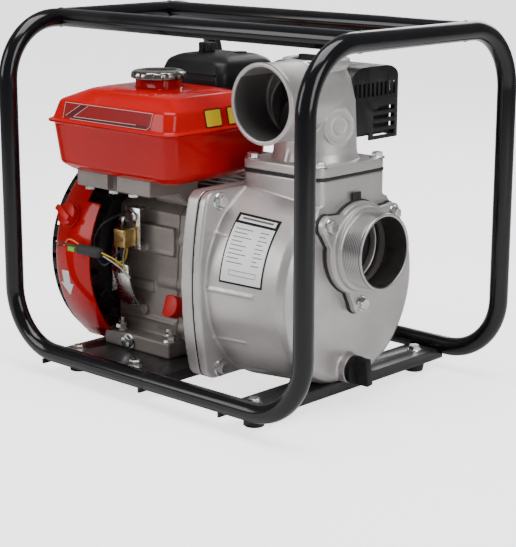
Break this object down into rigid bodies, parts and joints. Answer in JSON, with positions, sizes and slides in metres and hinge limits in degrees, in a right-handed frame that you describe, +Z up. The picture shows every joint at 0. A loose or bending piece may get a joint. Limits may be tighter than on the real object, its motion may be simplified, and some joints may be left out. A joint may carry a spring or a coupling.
{
  "type": "gas engine trash pump",
  "caption": "Petrol engine driven water pump in a black tube carrying frame: red fuel tank, recoil starter, cast pump casing, threaded suction port and upright discharge elbow.",
  "frame": {"origin": "centre of the footprint, on the floor under the rubber feet", "axes": "+X along the crankshaft towards the suction port, +Y towards the cylinder and muffler side (the discharge port faces -Y), +Z up"},
  "size_m": [0.49, 0.372, 0.431],
  "materials": {
    "frame_black": "gloss black powder coat",
    "rubber_black": "matt rubber",
    "zinc": "bright zinc plate",
    "cast_alu": "silver painted die casting",
    "cast_grey": "warm grey painted casting",
    "cast_iron": "as cast",
    "steel": "machined steel",
    "tank_red": "gloss red paint",
    "red_plastic": "moulded red",
    "black_plastic": "moulded black",
    "black_steel": "heat resistant black",
    "chrome": "chrome plate",
    "foam": "filter foam",
    "brass_box": "yellow chromate",
    "wire_black": "wire insulation",
    "gasket": "gasket sheet",
    "plate_white": "printed foil",
    "copper_coil": "coil housing"
  },
  "bodies": {
    "pump": {"hoop_pump_end": "frame_black", "hoop_engine_end": "frame_black", "top_rails": "frame_black", "crossmember": "frame_black", "engine_base_plate": "frame_black", "rubber_feet": "rubber_black", "frame_bolts": "zinc", "crankcase": "cast_grey", "crankcase_cover": "cast_grey", "cover_bolts": "zinc", "main_bearings": "steel", "gaskets": "gasket", "cylinder_head": "cast_grey", "rocker_cover": "cast_grey", "spark_plug": "black_plastic", "ignition_coil": "copper_coil", "fan_cover": "tank_red", "recoil_cover": "black_plastic", "recoil_spring": "steel", "side_plate": "zinc", "fuel_tank_lower": "tank_red", "fuel_tank_upper": "tank_red", "tank_brackets": "cast_grey", "air_cleaner_base": "black_plastic", "air_filter_element": "foam", "carburettor": "cast_grey", "muffler": "black_steel", "muffler_guard": "black_steel", "switch_housing": "red_plastic", "oil_alert_unit": "brass_box", "oil_alert_bracket": "zinc", "connector_sleeve": "wire_black", "engine_wires": "wire_black", "oil_drain_plug": "zinc", "pump_back_plate": "cast_alu", "mechanical_seal": "steel", "volute": "cast_iron", "pump_casing": "cast_alu", "spec_plate": "plate_white", "suction_gasket": "gasket", "suction_flange": "cast_alu", "discharge_elbow": "cast_alu", "pump_bolts": "zinc"},
    "rotor": {"crankshaft": "steel", "flywheel": "cast_iron", "impeller": "cast_iron"},
    "piston": {"piston": "cast_alu"},
    "reel": {"recoil_reel": "black_plastic"},
    "handle": {"starter_handle": "black_plastic"},
    "throttle": {"throttle_lever": "black_steel"},
    "choke": {"choke_lever": "black_plastic"},
    "fuel_valve": {"fuel_valve_lever": "black_plastic"},
    "knob": {"switch_knob": "red_plastic"},
    "tank_cap": {"fuel_cap": "chrome"},
    "dipstick": {"oil_dipstick": "red_plastic"},
    "priming": {"priming_plug": "black_plastic"},
    "drain": {"drain_plug": "black_plastic"},
    "cleaner_cover": {"air_cleaner_cover": "black_plastic"},
    "cleaner_nut": {"air_cleaner_nut": "black_plastic"},
    "flap": {"check_valve": "rubber_black"}
  },
  "joints": [
    {"name": "crankshaft_spin", "type": "hinge", "parent": "pump", "child": "rotor", "pos_m": [0, 0, 0.134], "axis": [1, 0, 0], "continuous": true},
    {"name": "piston_stroke", "type": "slide", "parent": "pump", "child": "piston", "axis": [0, 0.9063, 0.4226], "range_m": [-0.027, 0.027]},
    {"name": "reel_turn", "type": "hinge", "parent": "pump", "child": "reel", "pos_m": [-0.214, 0, 0.134], "axis": [1, 0, 0], "range_deg": [0, 640]},
    {"name": "starter_pull", "type": "slide", "parent": "pump", "child": "handle", "axis": [0, 1, 0], "range_m": [0, 0.4992]},
    {"name": "throttle_turn", "type": "hinge", "parent": "pump", "child": "throttle", "pos_m": [-0.134, 0.134, 0.25], "axis": [0, 0, 1], "range_deg": [0, 50]},
    {"name": "choke_turn", "type": "hinge", "parent": "pump", "child": "choke", "pos_m": [-0.184, 0.148, 0.234], "axis": [0, 1, 0], "range_deg": [0, 45]},
    {"name": "fuel_valve_turn", "type": "hinge", "parent": "pump", "child": "fuel_valve", "pos_m": [-0.17, 0.148, 0.218], "axis": [0, 1, 0], "range_deg": [0, 60]},
    {"name": "engine_switch_turn", "type": "hinge", "parent": "pump", "child": "knob", "pos_m": [-0.185, -0.1274, 0.18808], "axis": [0, -0.9205, 0.3907], "range_deg": [0, 60]},
    {"name": "fuel_cap_lift", "type": "slide", "parent": "pump", "child": "tank_cap", "axis": [0, 0, 1], "range_m": [0, 0.04]},
    {"name": "dipstick_pull", "type": "slide", "parent": "pump", "child": "dipstick", "axis": [0, -0.9404, 0.3401], "range_m": [0, 0.05]},
    {"name": "priming_plug_lift", "type": "slide", "parent": "pump", "child": "priming", "axis": [0, 0, 1], "range_m": [0, 0.06]},
    {"name": "drain_plug_pull", "type": "slide", "parent": "pump", "child": "drain", "axis": [1, 0, 0], "range_m": [0, 0.06]},
    {"name": "air_cover_lift", "type": "slide", "parent": "pump", "child": "cleaner_cover", "axis": [0, 0, 1], "range_m": [0, 0.02]},
    {"name": "air_nut_lift", "type": "slide", "parent": "cleaner_cover", "child": "cleaner_nut", "axis": [0, 0, 1], "range_m": [0, 0.04]},
    {"name": "check_valve_swing", "type": "hinge", "parent": "pump", "child": "flap", "pos_m": [0.1406, 0, 0.2275], "axis": [0, 1, 0], "range_deg": [0, 25]}
  ],
  "couplings": [
    {"joint": "starter_pull", "follows": "reel_turn", "m_per_rad": 0.0446}
  ]
}
